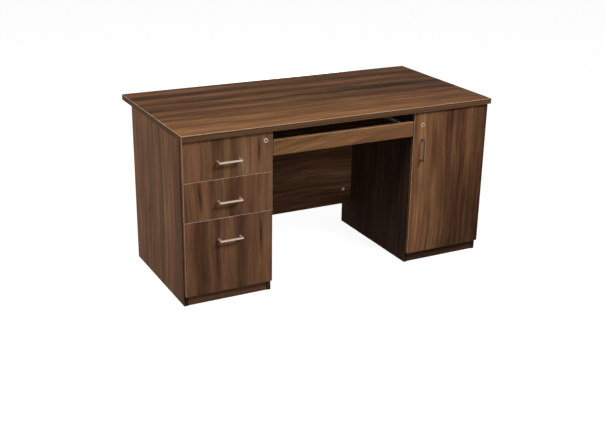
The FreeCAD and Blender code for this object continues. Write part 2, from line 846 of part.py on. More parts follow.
def keyboard_tray():
    front_top = top_under - size.tray_gap
    front_z = (front_top - size.tray_front_height, front_top)
    front_x = (size.tray_reveal - inner_x, inner_x - size.tray_reveal)
    node("keyboard_tray_front", overlay_front("keyboard_tray_front", front_x, front_z))
    board_x = (size.slide_thick - inner_x, inner_x - size.slide_thick)
    board_z = (front_z[0] + size.tray_lift, front_z[0] + size.tray_lift + size.tray_thick)
    board_y = (front_rear, front_rear + size.tray_depth)
    node("keyboard_tray_board", board("keyboard_tray_board", board_x, board_y, board_z))
    slide_z = board_z[0] + size.tray_thick / 2
    slide_pair("keyboard_tray", (-inner_x, inner_x), slide_z, size.tray_slide_length)


keyboard_tray()


# Cam locks: a flanged barrel with its nut, and a plug that carries the cam

def lock_barrel(name):
    bore_radius = size.lock_plug_diameter / 2 + size.running_play
    head_radius = size.lock_head_diameter / 2
    body_radius = size.lock_body_diameter / 2
    body = new_body(name)
    sketch = new_sketch(body, "section", "XY_Plane")
    draw_outline(sketch, [
        (bore_radius, -size.lock_head_thick), (head_radius, -size.lock_head_thick), (head_radius, zero),
        (body_radius, zero), (body_radius, size.lock_length), (bore_radius, size.lock_length),
    ])
    turned = body.newObject("PartDesign::Revolution", f"{name}_turned")
    turned.Profile = sketch
    turned.ReferenceAxis = (sketch, ["V_Axis"])
    turned.Angle = 360
    doc.recompute()

    def face_rim(edge):
        return on_plane(1, -size.lock_head_thick)(edge) and edge.BoundBox.XMax > head_radius.value - 0.01

    round_edges(body, size.lock_head_round, face_rim)
    return body


def lock_nut(name, x, z):
    prism = doc.addObject("Part::Prism", f"{name}_prism")
    prism.Polygon = 6
    prism.Placement = FreeCAD.Placement(FreeCAD.Vector(), along["y"])
    bind(prism, "Circumradius", size.lock_nut_width / 3 ** 0.5)
    bind(prism, "Height", size.lock_nut_thick)
    place(prism, x, front_rear, z)
    bore_start = (x, front_rear - size.bore_end_play, z)
    bore = rod(f"{name}_bore", "y", bore_start, size.lock_body_diameter + size.bore_play * 2,
               size.lock_nut_thick + size.bore_end_play * 2)
    return cut(name, prism, [bore])


def lock_screw(name, x, z):
    cam_rear = lock_cam_y[1]
    shank_start = cam_rear - size.lock_cam_thick - size.lock_screw_bite
    shank_length = size.lock_cam_thick + size.lock_screw_bite
    shank = rod(f"{name}_shank", "y", (x, shank_start, z), size.lock_screw_diameter, shank_length)
    head = rod(f"{name}_head", "y", (x, cam_rear, z), size.lock_screw_head, size.lock_cam_thick)
    bore = rod(f"{name}_bore", "y", (x, shank_start - size.bore_end_play, z),
               size.lock_screw_diameter + size.bore_play * 2, shank_length + size.bore_end_play * 2)
    return fuse(name, [shank, head]), bore


def lock_plug(name, x, z, screw_bore):
    face = front_face - size.lock_head_thick + size.lock_plug_inset
    cylinder = rod(f"{name}_core", "y", (x, face, z), size.lock_plug_diameter, lock_cam_y[0] - face)
    half_width = size.keyway_width / 2
    half_height = size.keyway_height / 2
    keyway = board(f"{name}_keyway", (x - half_width, x + half_width),
                   (face - size.bore_end_play, face + size.keyway_depth), (z - half_height, z + half_height))
    return cut(name, cylinder, [keyway, screw_bore])


def lock_cam(name, x, z, tip_x, tip_z, screw_bore):
    """A flat cam from the plug's axis towards a tip given by its direction."""
    half = size.lock_cam_width / 2
    span = size.lock_cam_length + half
    centre = span / 2 - half
    reach_x = (-half, half) if tip_x == 0 else (centre * tip_x - span / 2, centre * tip_x + span / 2)
    reach_z = (-half, half) if tip_z == 0 else (centre * tip_z - span / 2, centre * tip_z + span / 2)
    body = new_body(f"{name}_plate")
    sketch = new_sketch(body, "outline", "XZ_Plane")
    draw_outline(sketch, rectangle(reach_x, reach_z))
    pad(body, sketch, size.lock_cam_thick, reverse=True)
    corners = [(across, up) for across in reach_x for up in reach_z]
    round_edges(body, size.lock_cam_round, through(1, *corners))
    place(body, x, lock_cam_y[0], z)
    return cut(name, body, [screw_bore])


def lock(prefix, x, z, tip_x, tip_z):
    barrel = place(lock_barrel(f"{prefix}_barrel_body"), x, front_face, z)
    nut = lock_nut(f"{prefix}_nut", x, z)
    node(f"{prefix}_barrel", group(f"{prefix}_barrel", [barrel, nut]))
    screw, screw_bore = lock_screw(f"{prefix}_screw", x, z)
    plug = lock_plug(f"{prefix}_plug_core", x, z, screw_bore)
    cam = lock_cam(f"{prefix}_cam", x, z, tip_x, tip_z, screw_bore)
    node(f"{prefix}_plug", group(f"{prefix}_plug", [plug, cam, screw]))


lock("drawer_lock", drawer_lock_x, drawer_lock_z, -1, 0)
lock("door_lock", door_lock_x, door_lock_z, 0, -1)


# Door, hung on two single-pivot cup hinges near its outer edge

hinge_heights = (size.plinth_height + size.hinge_inset, fronts_top - size.hinge_inset)
cup_x = right.front[1] - size.cup_edge - size.cup_diameter / 2
hinge_pin_x = right.front[1] - size.hinge_pin_edge
hinge_pin_y = front_rear - size.hinge_pin_depth


def door():
    handle_x = door_lock_x
    handle_z = fronts_top - size.door_handle_drop
    cup_bore = size.cup_diameter + size.bore_play * 2
    cup_bore_depth = size.cup_depth + size.bore_play
    holes = screw_holes(handle_holes(handle_x, handle_z, upright)) + [lock_hole(door_lock_x, door_lock_z)]
    holes += [(cup_x, z, cup_bore, cup_bore_depth) for z in hinge_heights]
    door_z = (size.plinth_height, fronts_top)
    node("door_panel", overlay_front("door_panel", right.front, door_z, holes))
    handle("door", handle_x, handle_z, upright)


def hinge_cup(name, z):
    """A pressed cup with fixing wings, and two ears inside that hold the hinge pin."""
    floor_y = front_rear - size.cup_depth
    outside = rod(f"{name}_outside", "y", (cup_x, floor_y, z), size.cup_diameter, size.cup_depth)
    wing_y = (front_rear, front_rear + size.wing_thick)
    half_wing = size.wing_width / 2
    wing_z = (z - size.wing_length / 2, z + size.wing_length / 2)
    wings = board(f"{name}_wings", (cup_x - half_wing, cup_x + half_wing), wing_y, wing_z)
    hollow_diameter = size.cup_diameter - size.cup_wall * 2
    hollow_depth = size.cup_depth + size.wing_thick + size.bore_end_play
    hollow = rod(f"{name}_hollow", "y", (cup_x, floor_y + size.cup_wall, z), hollow_diameter, hollow_depth)
    shell = cut(f"{name}_shell", fuse(f"{name}_blank", [outside, wings]), [hollow])

    half_ear = size.ear_width / 2
    ear_x = (hinge_pin_x - half_ear, hinge_pin_x + half_ear)
    ear_y = (floor_y, hinge_pin_y + half_ear)
    near = size.arm_width / 2 + size.ear_gap
    far = near + size.ear_thick
    ears = [board(f"{name}_upper_ear", ear_x, ear_y, (z + near, z + far)),
            board(f"{name}_lower_ear", ear_x, ear_y, (z - far, z - near))]
    trimmed = doc.addObject("Part::MultiCommon", f"{name}_ears")
    trimmed.Shapes = [group(f"{name}_ear_blanks", ears), outside]
    pin_bore = rod(f"{name}_pin_bore", "z", (hinge_pin_x, hinge_pin_y, z - far - size.bore_end_play),
                   size.hinge_pin_diameter + size.running_play * 2, (far + size.bore_end_play) * 2)
    cup = cut(name, fuse(f"{name}_with_ears", [shell, trimmed]), [pin_bore])
    pin = rod(f"{name}_pin", "z", (hinge_pin_x, hinge_pin_y, z - far), size.hinge_pin_diameter, far * 2)
    return [cup, pin]


def hinge_arm(name, z):
    """A cranked arm from the mounting plate through the cup's mouth to a knuckle on the pin."""
    knuckle = size.knuckle_diameter / 2
    run_top = size.arm_gauge - knuckle
    neck_face = right.bay[1] - size.hinge_plate_thick - hinge_pin_x
    neck_back = neck_face - size.arm_gauge
    arm_end = carcass_front + size.arm_length - hinge_pin_y
    body = new_body(name)
    crank = new_sketch(body, "crank", "XY_Plane")
    draw_outline(crank, [
        (zero, -knuckle), (zero, run_top), (neck_face, run_top),
        (neck_face, arm_end), (neck_back, arm_end), (neck_back, -knuckle),
    ])
    pad(body, crank, size.arm_width, both_ways=True)
    round_edges(body, size.arm_bend, through(2, (neck_back, -knuckle)))
    eye = new_sketch(body, "eye", "XY_Plane")
    draw_circle(eye, zero, zero, size.knuckle_diameter)
    pad(body, eye, size.arm_width, both_ways=True)
    pin_hole = new_sketch(body, "pin_hole", "XY_Plane")
    draw_circle(pin_hole, zero, zero, size.hinge_pin_diameter + size.running_play * 2)
    pocket(body, pin_hole, size.arm_width + size.bore_end_play * 2, both_ways=True)
    arm_holes = new_sketch(body, "screw_holes", "YZ_Plane")
    last_screw = arm_end - size.arm_screw_inset
    for along_arm in (last_screw - size.arm_screw_pitch, last_screw):
        draw_circle(arm_holes, along_arm, zero, size.arm_screw_hole)
    pocket(body, arm_holes, (size.bore_end_play - neck_back) * 2, both_ways=True)
    return place(body, hinge_pin_x, hinge_pin_y, z)


def hinge_plate(name, z):
    """A mounting plate with two screwed wings and a raised rib under the arm."""
    middle = size.hinge_plate_length / 2
    half_height = size.hinge_plate_height / 2
    wing_y = (middle - size.plate_wing_width / 2, middle + size.plate_wing_width / 2)
    wing_z = (-size.plate_wing_height / 2, size.plate_wing_height / 2)
    body = new_body(name)
    wings = new_sketch(body, "wings", "YZ_Plane")
    draw_outline(wings, rectangle(wing_y, wing_z))
    pad(body, wings, size.plate_wing_thick, reverse=True)
    round_edges(body, size.plate_corner, through(0, *rectangle(wing_y, wing_z)))
    rib = new_sketch(body, "rib", "YZ_Plane")
    draw_outline(rib, rectangle((zero, size.hinge_plate_length), (-half_height, half_height)))
    pad(body, rib, size.hinge_plate_thick, reverse=True)
    fixing = new_sketch(body, "fixing_holes", "YZ_Plane")
    for up in (-size.plate_screw_pitch / 2, size.plate_screw_pitch / 2):
        draw_circle(fixing, middle, up, size.plate_screw_hole)
    pocket(body, fixing, (size.plate_wing_thick + size.bore_end_play) * 2, both_ways=True)
    return place(body, right.bay[1], carcass_front + size.hinge_plate_setback, z)


door()
cups = [piece for i, z in enumerate(hinge_heights) for piece in hinge_cup(f"hinge_cup_{i}", z)]
node("hinge_cups", group("hinge_cups", cups))
arms = [hinge_arm(f"hinge_arm_{i}", z) for i, z in enumerate(hinge_heights)]
plates = [hinge_plate(f"hinge_plate_{i}", z) for i, z in enumerate(hinge_heights)]
node("hinge_arms", group("hinge_arms", arms + plates))


# Checking and writing

doc.recompute()
failed = [thing.Name for thing in doc.Objects if {"Invalid", "Error"} & set(thing.State)]
if failed:
    raise RuntimeError(f"failed to compute: {failed}")
for label, thing in nodes.items():
    if thing.Shape.isNull() or not thing.Shape.isValid() or not thing.Shape.Solids:
        raise RuntimeError(f"{label} is not a valid solid")
for label, thing in nodes.items():
    thing.Shape.exportStep(f"parts/{label}.step")
print(f"{len(nodes)} nodes, {sum(len(thing.Shape.Solids) for thing in nodes.values())} solids written")
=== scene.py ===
import bpy
import bmesh
import math
from mathutils import Matrix, Vector


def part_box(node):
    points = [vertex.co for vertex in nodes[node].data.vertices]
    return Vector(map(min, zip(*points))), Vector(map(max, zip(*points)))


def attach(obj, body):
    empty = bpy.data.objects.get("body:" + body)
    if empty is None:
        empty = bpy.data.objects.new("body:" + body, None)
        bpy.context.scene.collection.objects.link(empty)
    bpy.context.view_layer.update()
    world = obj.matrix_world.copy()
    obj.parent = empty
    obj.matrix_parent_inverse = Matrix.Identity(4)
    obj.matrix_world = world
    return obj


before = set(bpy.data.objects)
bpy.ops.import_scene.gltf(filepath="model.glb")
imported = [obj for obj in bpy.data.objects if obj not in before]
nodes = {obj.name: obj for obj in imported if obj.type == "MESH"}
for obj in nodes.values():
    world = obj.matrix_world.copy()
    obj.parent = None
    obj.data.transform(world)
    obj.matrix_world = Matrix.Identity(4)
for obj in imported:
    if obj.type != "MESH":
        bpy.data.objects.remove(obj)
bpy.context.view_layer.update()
drawerNames = ["top_drawer", "middle_drawer", "file_drawer"]
slideOwners = drawerNames + ["keyboard_tray"]
axisOf = {"X": 0, "Y": 1, "Z": 2}


# a material's node tree, with short calls for the nodes used here
class Finish:
    def __init__(self, name):
        self.material = bpy.data.materials.new(name)
        self.material.use_nodes = True
        self.tree = self.material.node_tree
        self.tree.nodes.clear()
        self.shader = self.add("ShaderNodeBsdfPrincipled")
        output = self.add("ShaderNodeOutputMaterial")
        self.tree.links.new(self.shader.outputs["BSDF"], output.inputs["Surface"])
        self.place = self.add("ShaderNodeTexCoord")

    def add(self, kind, **settings):
        node = self.tree.nodes.new(kind)
        for key, value in settings.items():
            setattr(node, key, value)
        return node

    def feed(self, socket, value):
        if isinstance(value, bpy.types.NodeSocket):
            self.tree.links.new(value, socket)
        else:
            socket.default_value = value

    def calc(self, operation, first, second=0.0):
        node = self.add("ShaderNodeMath", operation=operation)
        self.feed(node.inputs[0], first)
        self.feed(node.inputs[1], second)
        return node.outputs[0]

    def centred(self, noise, size):  # a noise from 0 to 1, moved to swing about zero
        return self.calc("MULTIPLY", self.calc("SUBTRACT", noise, 0.5), size)

    def spread(self, value, low, high, outLow=0.0, outHigh=1.0, curve="SMOOTHSTEP"):
        node = self.add("ShaderNodeMapRange", interpolation_type=curve)
        for socket, number in zip(node.inputs, (value, low, high, outLow, outHigh)):
            self.feed(socket, number)
        return node.outputs[0]

    def split(self, vector):
        node = self.add("ShaderNodeSeparateXYZ")
        self.feed(node.inputs[0], vector)
        return list(node.outputs)

    def join(self, x, y, z):
        node = self.add("ShaderNodeCombineXYZ")
        for socket, value in zip(node.inputs, (x, y, z)):
            self.feed(socket, value)
        return node.outputs[0]

    def stretch(self, perMetre):  # places on the object, each axis at its own rate
        parts = self.split(self.place.outputs["Object"])
        return self.join(*(self.calc("MULTIPLY", part, rate) for part, rate in zip(parts, perMetre)))

    def noise(self, vector, scale=1.0, detail=2.0, fineShare=0.5):
        node = self.add("ShaderNodeTexNoise")
        self.feed(node.inputs["Vector"], vector)
        node.inputs["Scale"].default_value = scale
        node.inputs["Detail"].default_value = detail
        node.inputs["Roughness"].default_value = fineShare
        return node.outputs[0]

    def ramp(self, factor, stops, curve="LINEAR"):
        node = self.add("ShaderNodeValToRGB")
        node.color_ramp.interpolation = curve
        points = node.color_ramp.elements
        while len(points) < len(stops):
            points.new(0.5)
        for point, (position, colour) in zip(points, stops):
            point.position = position
            point.color = (*colour, 1.0)
        self.feed(node.inputs[0], factor)
        return node.outputs[0]

    def mix(self, factor, first, second, blend="MIX"):
        node = self.add("ShaderNodeMix", data_type="RGBA", blend_type=blend)
        for socket, value in ((0, factor), (6, first), (7, second)):  # the mix's colour sockets
            self.feed(node.inputs[socket], value)
        return node.outputs[2]

    def arris(self, low, high):  # 1 on rounded edges, 0 on flat faces
        sizes = [self.calc("ABSOLUTE", part) for part in self.split(self.place.outputs["Normal"])]
        largest = self.calc("MAXIMUM", self.calc("MAXIMUM", sizes[0], sizes[1]), sizes[2])
        return self.spread(self.calc("SUBTRACT", 1.0, largest), low, high)

    def facing(self, axis, low=0.7, high=0.95):  # 1 on faces square to the axis
        part = self.split(self.place.outputs["Normal"])[axisOf[axis]]
        return self.spread(self.calc("ABSOLUTE", part), low, high)

    def coat(self, colour, roughness, specular=0.5, metallic=0.0):
        sockets = self.shader.inputs
        self.feed(sockets["Base Color"], colour)
        self.feed(sockets["Roughness"], roughness)
        sockets["Specular IOR Level"].default_value = specular
        sockets["Metallic"].default_value = metallic

    def bump(self, height, strength, distance):
        node = self.add("ShaderNodeBump")
        node.inputs["Strength"].default_value = strength
        node.inputs["Distance"].default_value = distance
        self.feed(node.inputs["Height"], height)
        self.tree.links.new(node.outputs[0], self.shader.inputs["Normal"])


def paint(material, names):
    for name in names:
        slots = nodes[name].data.materials
        slots.clear()
        slots.append(material)


# walnut laminate: broad bands given one by one, with finer grain over them; rates are along and across the
# grain
walnutLook = {
    "tones": [
        (0.00, (0.018, 0.0090, 0.0058)),
        (0.30, (0.062, 0.0295, 0.0168)),
        (0.52, (0.112, 0.0540, 0.0285)),
        (0.75, (0.190, 0.095, 0.047)),
        (1.00, (0.300, 0.170, 0.095)),
    ],
    "wobble": {"perMetre": (1.6, 3.0), "detail": 2.0, "fineShare": 0.5, "seedStep": 0.0, "size": 0.07},
    "layers": {
        "cloud": {"perMetre": (0.9, 7.0), "detail": 2.0, "fineShare": 0.6, "seedStep": 7.3, "share": 0.45},
        "streak": {"perMetre": (1.1, 62.0), "detail": 5.0, "fineShare": 0.6, "seedStep": 14.6, "share": 0.60},
        "fibre": {"perMetre": (7.0, 420.0), "detail": 3.0, "fineShare": 0.6, "seedStep": 21.9, "share": 0.48},
        "figure": {"perMetre": (5.0, 40.0), "detail": 4.0, "fineShare": 0.6, "seedStep": 29.2, "share": 0.45},
    },
    "pores": {"perMetre": (26.0, 1300.0), "detail": 1.0, "fineShare": 0.5, "seedStep": 31.0,
              "limits": (0.60, 0.72), "share": 0.10},
    "hue": {"perMetre": (0.8, 21.0), "detail": 2.0, "fineShare": 0.5, "seedStep": 47.0,
            "limits": (0.38, 0.62), "olive": (0.97, 1.02, 0.97), "red": (1.05, 0.97, 1.0)},
    "fibreLimits": (0.2, 0.8), "roughness": (0.50, 0.64), "specular": 0.01, "bump": (0.12, 0.0004),
    # painted highlight: a pale line on the rounded arrises of the fronts
    "edgeTone": -0.04, "paintedArrisHighlight": (0.62, 0.43, 0.30), "arrisLimits": (0.05, 0.2),
}

# bands are shares of the way across the board and tones; patches of figure and painted shade sit across and
# along it, in metres
plainBoard = {"contrast": 1.0, "slant": 0.0, "tint": (1.0, 1.0, 1.0), "figureAndPaintedShade": [], "face": None}
boardLooks = [
    {"name": "desktopWalnut", "nodes": ["desktop"], "grain": "X", "across": "Y", "seed": 3.1,
     "tint": (1.0, 0.95, 0.78), "contrast": 1.5,
     "bands": [(0.0, 0.55), (0.12, 0.57), (0.24, 0.54), (0.33, 0.46), (0.40, 0.23), (0.47, 0.46),
               (0.54, 0.20), (0.61, 0.47), (0.68, 0.20), (0.76, 0.46), (0.84, 0.19), (0.92, 0.44),
               (1.0, 0.30)]},
    {"name": "topDrawerWalnut", "nodes": ["top_drawer_front"], "grain": "Z", "across": "X",
     "seed": 11.7, "face": "Y",
     "figureAndPaintedShade": [{"at": (-0.416, 0.650), "wide": 0.010, "long": 0.09, "dark": 0.42}],
     "bands": [(0.0, 0.62), (0.10, 0.67), (0.23, 0.58), (0.35, 0.40), (0.46, 0.67), (0.55, 0.44),
               (0.64, 0.73), (0.78, 0.72), (0.88, 0.70), (1.0, 0.72)]},
    {"name": "middleDrawerWalnut", "nodes": ["middle_drawer_front"], "grain": "Z", "across": "X",
     "seed": 17.9, "face": "Y",
     "figureAndPaintedShade": [{"at": (-0.672, 0.480), "wide": 0.010, "long": 0.10, "dark": 0.42}],
     "bands": [(0.0, 0.60), (0.12, 0.66), (0.24, 0.56), (0.33, 0.42), (0.43, 0.66), (0.57, 0.38),
               (0.68, 0.64), (0.84, 0.56), (1.0, 0.62)]},
    {"name": "fileDrawerWalnut", "nodes": ["file_drawer_front"], "grain": "Z", "across": "X",
     "seed": 29.3, "face": "Y",
     "figureAndPaintedShade": [{"at": (-0.402, 0.270), "wide": 0.010, "long": 0.13, "dark": 0.45}],
     "bands": [(0.0, 0.52), (0.07, 0.52), (0.155, 0.33), (0.21, 0.37), (0.275, 0.53), (0.345, 0.35),
               (0.42, 0.54), (0.52, 0.62), (0.62, 0.33), (0.73, 0.58), (0.90, 0.57), (1.0, 0.53)]},
    {"name": "doorWalnut", "nodes": ["door_panel"], "grain": "Z", "across": "X", "seed": 23.9, "face": "Y",
     "contrast": 1.25, "tint": (1.02, 0.98, 0.90),
     "figureAndPaintedShade": [{"at": (0.474, 0.57), "wide": 0.045, "long": 0.17, "dark": 0.14},
                {"at": (0.64, 0.18), "wide": 0.13, "long": 0.40, "dark": 0.17},
                {"at": (0.40, 0.60), "wide": 0.08, "long": 0.25, "dark": -0.07}],
     "bands": [(0.0, 0.62), (0.12, 0.66), (0.22, 0.54), (0.32, 0.60), (0.42, 0.54), (0.50, 0.40),
               (0.58, 0.50), (0.68, 0.38), (0.78, 0.47), (0.88, 0.40), (1.0, 0.30)]},
    {"name": "trayFrontWalnut", "nodes": ["keyboard_tray_front"], "grain": "X", "across": "Z", "seed": 37.3,
     "face": "Y", "slant": -0.18, "tint": (1.04, 0.98, 0.86),
     "bands": [(0.0, 0.61), (0.3, 0.68), (0.6, 0.61), (1.0, 0.66)]},
    {"name": "leftSideWalnut", "nodes": ["left_outer_side"], "grain": "Z", "across": "Y", "seed": 41.9,
     "tint": (1.02, 1.05, 1.14),
     "figureAndPaintedShade": [{"at": (0.066, 0.307), "wide": 0.012, "long": 0.022, "dark": 0.40}],
     "bands": [(0.0, 0.16), (0.05, 0.32), (0.10, 0.48), (0.16, 0.54), (0.36, 0.60), (0.5, 0.54),
               (0.66, 0.62), (0.8, 0.54), (1.0, 0.58)]},
    {"name": "rightSideWalnut", "nodes": ["right_outer_side"], "grain": "Z", "across": "Y", "seed": 47.1,
     "bands": [(0.0, 0.26), (0.06, 0.44), (0.25, 0.60), (0.5, 0.50), (0.75, 0.58), (1.0, 0.52)]},
    # painted shade: the knee-space sides are a darker, cooler copy of the walnut, darkest at the front edge
    {"name": "kneePaintedShadeWalnut", "nodes": ["left_inner_side", "right_inner_side"], "grain": "Z", "across": "Y",
     "seed": 53.3, "tint": (0.95, 1.1, 1.3),
     "bands": [(0.0, 0.14), (0.15, 0.24), (0.4, 0.42), (0.7, 0.36), (1.0, 0.42)]},
    {"name": "backWalnut", "nodes": ["left_back_panel", "right_back_panel"], "grain": "Z", "across": "X",
     "seed": 59.7, "bands": [(0.0, 0.52), (0.3, 0.56), (0.6, 0.48), (1.0, 0.54)]},
    # its patches are painted shade near the top under the tray and painted light low in the middle; it is
    # also darker near the bottom
    {"name": "modestyWalnut", "nodes": ["modesty_panel"], "grain": "X", "across": "Z", "seed": 61.3,
     "contrast": 1.4,
     "figureAndPaintedShade": [{"at": (0.29, 0.20), "wide": 0.12, "long": 0.34, "dark": -0.17},
                {"at": (0.56, -0.10), "wide": 0.20, "long": 0.70, "dark": 0.22},
                {"at": (0.14, 0.0), "wide": 0.05, "long": 0.60, "dark": 0.14}],
     "bands": [(0.0, 0.56), (0.25, 0.62), (0.5, 0.50), (0.75, 0.60), (1.0, 0.52)]},
    {"name": "leftPlinthWalnut", "nodes": ["left_plinth"], "grain": "X", "across": "Z", "seed": 67.9,
     "bands": [(0.0, 0.42), (0.5, 0.46), (1.0, 0.42)]},
    {"name": "rightPlinthWalnut", "nodes": ["right_plinth"], "grain": "X", "across": "Z", "seed": 73.1,
     "bands": [(0.0, 0.24), (0.5, 0.30), (1.0, 0.26)]},
    {"name": "insideWalnut", "grain": "X", "across": "Y", "seed": 71.3,
     "nodes": ["left_top_panel", "left_bottom_panel", "right_top_panel", "right_bottom_panel", "shelf",
               "keyboard_tray_board"],
     "bands": [(0.0, 0.52), (0.4, 0.58), (0.7, 0.50), (1.0, 0.56)]},
]


def makeWalnut(board):
    look = walnutLook
    finish = Finish(board["name"])
    parts = finish.split(finish.place.outputs["Object"])
    third = (set(axisOf) - {board["grain"], board["across"]}).pop()
    along, side, depth = (parts[axisOf[letter]] for letter in (board["grain"], board["across"], third))
    low, high = (corner[axisOf[board["across"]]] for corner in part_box(board["nodes"][0]))

    def grain(layer, sideways):
        alongRate, acrossRate = layer["perMetre"]
        offset = board["seed"] + layer["seedStep"]
        spot = finish.join(
            finish.calc("MULTIPLY", along, alongRate),
            finish.calc("MULTIPLY", sideways, acrossRate),
            finish.calc("ADD", finish.calc("MULTIPLY", depth, acrossRate), offset))
        return finish.noise(spot, detail=layer["detail"], fineShare=layer["fineShare"])

    def near(place, middle, reach):  # 1 at the middle, fading to 0
        away = finish.calc("ABSOLUTE", finish.calc("SUBTRACT", place, middle))
        return finish.spread(away, 0.0, reach, 1.0, 0.0)

    bent = finish.calc("ADD", side, finish.centred(grain(look["wobble"], side), look["wobble"]["size"]))
    level = finish.spread(bent, low, high, curve="LINEAR")
    tone = finish.split(finish.ramp(level, [(at, (value,) * 3) for at, value in board["bands"]], "EASE"))[0]
    if board["slant"]:
        bent = finish.calc("ADD", bent, finish.calc("MULTIPLY", along, board["slant"]))
    heights = {name: grain(layer, bent) for name, layer in look["layers"].items()}
    for name, height in heights.items():
        share = look["layers"][name]["share"] * board["contrast"]
        tone = finish.calc("ADD", tone, finish.centred(height, share))
    pores = finish.spread(grain(look["pores"], bent), *look["pores"]["limits"])
    tone = finish.calc("SUBTRACT", tone, finish.calc("MULTIPLY", pores, look["pores"]["share"]))
    for fleck in board["figureAndPaintedShade"]:  # short dark patches, or pale where dark is below zero: figure on the drawers and sides, painted shade and painted light on the modesty panel
        spot = finish.calc("MULTIPLY", near(bent, fleck["at"][0], fleck["wide"]),
                           near(along, fleck["at"][1], fleck["long"]))
        tone = finish.calc("SUBTRACT", tone, finish.calc("MULTIPLY", spot, fleck["dark"]))
    if board["face"]:  # the strips on the edges are a little darker than the face
        rim = finish.calc("SUBTRACT", 1.0, finish.facing(board["face"]))
        tone = finish.calc("ADD", tone, finish.calc("MULTIPLY", rim, look["edgeTone"]))
    hue = look["hue"]
    ends = [[part * share for part, share in zip(hue[key], board["tint"])] for key in ("olive", "red")]
    drift = finish.ramp(grain(hue, bent), list(zip(hue["limits"], ends)))
    colour = finish.mix(1.0, finish.ramp(tone, look["tones"]), drift, "MULTIPLY")
    # painted highlight: the pale arris line is mixed onto the fronts' rounded edges
    if board["face"]:
        colour = finish.mix(finish.arris(*look["arrisLimits"]), colour, (*look["paintedArrisHighlight"], 1.0))
    roughness = finish.spread(heights["fibre"], *look["fibreLimits"], *look["roughness"])
    finish.coat(colour, roughness, look["specular"])
    finish.bump(heights["fibre"], *look["bump"])
    return finish.material


for board in boardLooks:
    paint(makeWalnut({**plainBoard, **board}), board["nodes"])
print("walnut boards painted:", sum(len(board["nodes"]) for board in boardLooks))


# edge band of the desktop: walnut strips, with a painted highlight on their rounded arrises and painted shade
# on the end strips
bandLook = {
    "tones": [(0.25, (0.055, 0.026, 0.013)), (0.5, (0.098, 0.048, 0.024)), (0.8, (0.150, 0.078, 0.041))],
    "perMetre": (1.4, 1.4, 160.0), "detail": 4.0, "fineShare": 0.6, "endPaintedShade": 0.16,
    "paintedArrisHighlight": (0.56, 0.39, 0.26), "arrisLimits": (0.04, 0.16),
    "roughness": 0.50, "specular": 0.01, "bump": (0.08, 0.0003),
}


def makeEdgeBand():
    look = bandLook
    finish = Finish("edgeBand")
    streaks = finish.noise(finish.stretch(look["perMetre"]), detail=look["detail"],
                           fineShare=look["fineShare"])
    # painted shade: the end strips, facing along X, are darkened
    ends = finish.calc("MULTIPLY", finish.facing("X"), look["endPaintedShade"])  # the end strips are darker
    colour = finish.ramp(finish.calc("SUBTRACT", streaks, ends), look["tones"])
    # painted highlight: a pale line on the rounded arrises
    colour = finish.mix(finish.arris(*look["arrisLimits"]), colour, (*look["paintedArrisHighlight"], 1.0))
    finish.coat(colour, look["roughness"], look["specular"])
    finish.bump(streaks, *look["bump"])
    return finish.material


paint(makeEdgeBand(), ["desktop_edge_band"])


# off-white melamine of the drawer boxes, with a faint fleck
melamineLook = {
    "parts": ["left_side", "right_side", "back", "bottom"],
    "tones": [(0.40, (0.62, 0.59, 0.53)), (0.55, (0.66, 0.63, 0.57))],
    "perMetre": 700.0, "detail": 4.0, "fineShare": 0.7,
    "fleckLimits": (0.3, 0.7), "roughness": (0.45, 0.6), "bump": (0.06, 0.0003),
}


def makeMelamine():
    look = melamineLook
    finish = Finish("drawerMelamine")
    fleck = finish.noise(finish.place.outputs["Object"], look["perMetre"], look["detail"], look["fineShare"])
    roughness = finish.spread(fleck, *look["fleckLimits"], *look["roughness"])
    finish.coat(finish.ramp(fleck, look["tones"]), roughness)
    finish.bump(fleck, *look["bump"])
    return finish.material


paint(makeMelamine(), [f"{drawer}_{part}" for drawer in drawerNames for part in melamineLook["parts"]])
print("edge band and drawer boxes painted")


